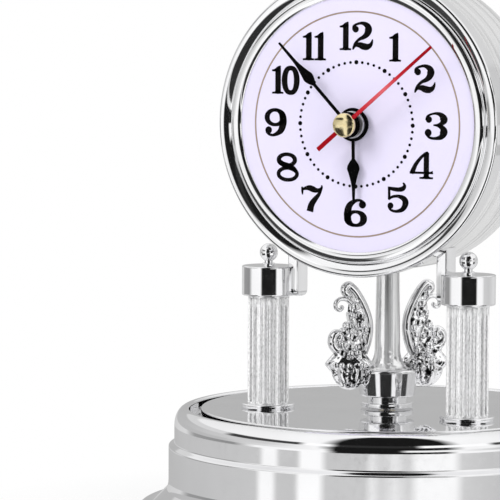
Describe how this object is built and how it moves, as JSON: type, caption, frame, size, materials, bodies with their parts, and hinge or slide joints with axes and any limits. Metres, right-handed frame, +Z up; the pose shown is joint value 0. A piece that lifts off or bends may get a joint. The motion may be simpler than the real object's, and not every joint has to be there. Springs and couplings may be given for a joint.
{
  "type": "glass dome clock",
  "caption": "Chromed mantel clock: a round dial in a drum on fluted columns over a turning ornamental pendulum, on a stepped round base under a lift-off glass dome.",
  "frame": {"origin": "centre of the base on the table, under the pendulum's axis", "axes": "+Z up, +X to the right as the dial is read, the dial faces -Y"},
  "size_m": [0.1752, 0.1752, 0.2158],
  "materials": {
    "chrome": "bright chrome plate",
    "deck_chrome": "bright chrome plate, mirror flat",
    "dial_white": "satin lavender white paint",
    "hand_black": "satin black paint",
    "hand_red": "satin red paint",
    "brass": "polished",
    "steel": "bright zinc",
    "case_plastic": "moulded",
    "gear_plastic": "moulded acetal",
    "black_plastic": "fine texture",
    "rubber": "matt",
    "glass": "clear, polished",
    "board_green": "solder mask",
    "copper_wire": "enamelled winding",
    "iron": "stamped",
    "magnet": "sintered ferrite",
    "battery_shell": "printed film, unmarked"
  },
  "bodies": {
    "base": {"base_shell": "chrome", "deck_plate": "deck_chrome", "bottom_cover": "black_plastic", "base_feet": "rubber", "cover_screws": "steel", "tie_rods": "steel", "tie_nuts": "steel", "guide_bush": "brass", "column_left": "chrome", "column_right": "chrome", "bracket_left": "chrome", "bracket_right": "chrome", "finial_left": "chrome", "finial_right": "chrome", "head_drum": "chrome", "bracket_screws": "steel", "bezel": "chrome", "dial": "dial_white", "movement_front": "case_plastic", "movement_back": "case_plastic", "dial_nut": "black_plastic", "battery": "battery_shell", "battery_contacts": "steel", "circuit_board": "board_green", "coil": "copper_wire", "stator": "iron", "drive_housing": "case_plastic", "drive_screws": "steel", "drive_coil": "copper_wire"},
    "dome": {"glass_dome": "glass"},
    "back": {"rear_cover": "black_plastic"},
    "pendulum": {"drive_magnet": "magnet", "pendulum_shaft": "steel", "spindle": "chrome", "hub_cup": "chrome", "hub_foot": "chrome", "bulb_left": "chrome", "bulb_right": "chrome", "leaf_left": "chrome", "leaf_right": "chrome"},
    "second": {"second_wheel": "gear_plastic", "second_hand": "hand_red", "second_cap": "brass"},
    "minute": {"minute_arbor": "steel", "minute_hand": "hand_black"},
    "hour": {"hour_wheel": "gear_plastic", "hour_hand": "hand_black", "hour_collet": "steel"},
    "setting": {"minute_wheel": "gear_plastic", "setting_knob": "black_plastic"},
    "third": {"third_wheel": "gear_plastic"},
    "center": {"center_wheel": "gear_plastic"},
    "intermediate": {"intermediate_wheel": "gear_plastic"},
    "step_rotor": {"rotor": "magnet"}
  },
  "joints": [
    {"name": "dome_lift", "type": "slide", "parent": "base", "child": "dome", "axis": [0, 0, 1], "range_m": [0, 0.18]},
    {"name": "rear_cover_pull", "type": "slide", "parent": "base", "child": "back", "axis": [0, 1, 0], "range_m": [0, 0.02]},
    {"name": "pendulum_swing", "type": "hinge", "parent": "base", "child": "pendulum", "pos_m": [0, 0, 0.05], "axis": [0, 0, 1], "range_deg": [-180, 180], "stiffness_Nm_per_rad": 0.00002},
    {"name": "second_spin", "type": "hinge", "parent": "base", "child": "second", "pos_m": [0, -0.02735, 0.14352], "axis": [0, 1, 0], "continuous": true},
    {"name": "minute_spin", "type": "hinge", "parent": "base", "child": "minute", "pos_m": [0, -0.02735, 0.14352], "axis": [0, 1, 0], "continuous": true},
    {"name": "hour_spin", "type": "hinge", "parent": "base", "child": "hour", "pos_m": [0, -0.02735, 0.14352], "axis": [0, 1, 0], "continuous": true},
    {"name": "setting_spin", "type": "hinge", "parent": "base", "child": "setting", "pos_m": [0.0096, -0.02735, 0.14352], "axis": [0, 1, 0], "continuous": true},
    {"name": "third_spin", "type": "hinge", "parent": "base", "child": "third", "pos_m": [0, -0.02735, 0.15252], "axis": [0, 1, 0], "continuous": true},
    {"name": "center_spin", "type": "hinge", "parent": "base", "child": "center", "pos_m": [0, -0.02735, 0.14352], "axis": [0, 1, 0], "continuous": true},
    {"name": "intermediate_spin", "type": "hinge", "parent": "base", "child": "intermediate", "pos_m": [-0.009, -0.02735, 0.14352], "axis": [0, 1, 0], "continuous": true},
    {"name": "rotor_spin", "type": "hinge", "parent": "base", "child": "step_rotor", "pos_m": [-0.01494, -0.02735, 0.14946], "axis": [0, 1, 0], "continuous": true}
  ],
  "couplings": [
    {"joint": "hour_spin", "follows": "minute_spin", "ratio": 0.083333},
    {"joint": "setting_spin", "follows": "minute_spin", "ratio": -0.33333},
    {"joint": "third_spin", "follows": "second_spin", "ratio": -0.13333},
    {"joint": "center_spin", "follows": "second_spin", "ratio": 0.016667},
    {"joint": "intermediate_spin", "follows": "second_spin", "ratio": -5},
    {"joint": "rotor_spin", "follows": "second_spin", "ratio": 30}
  ]
}
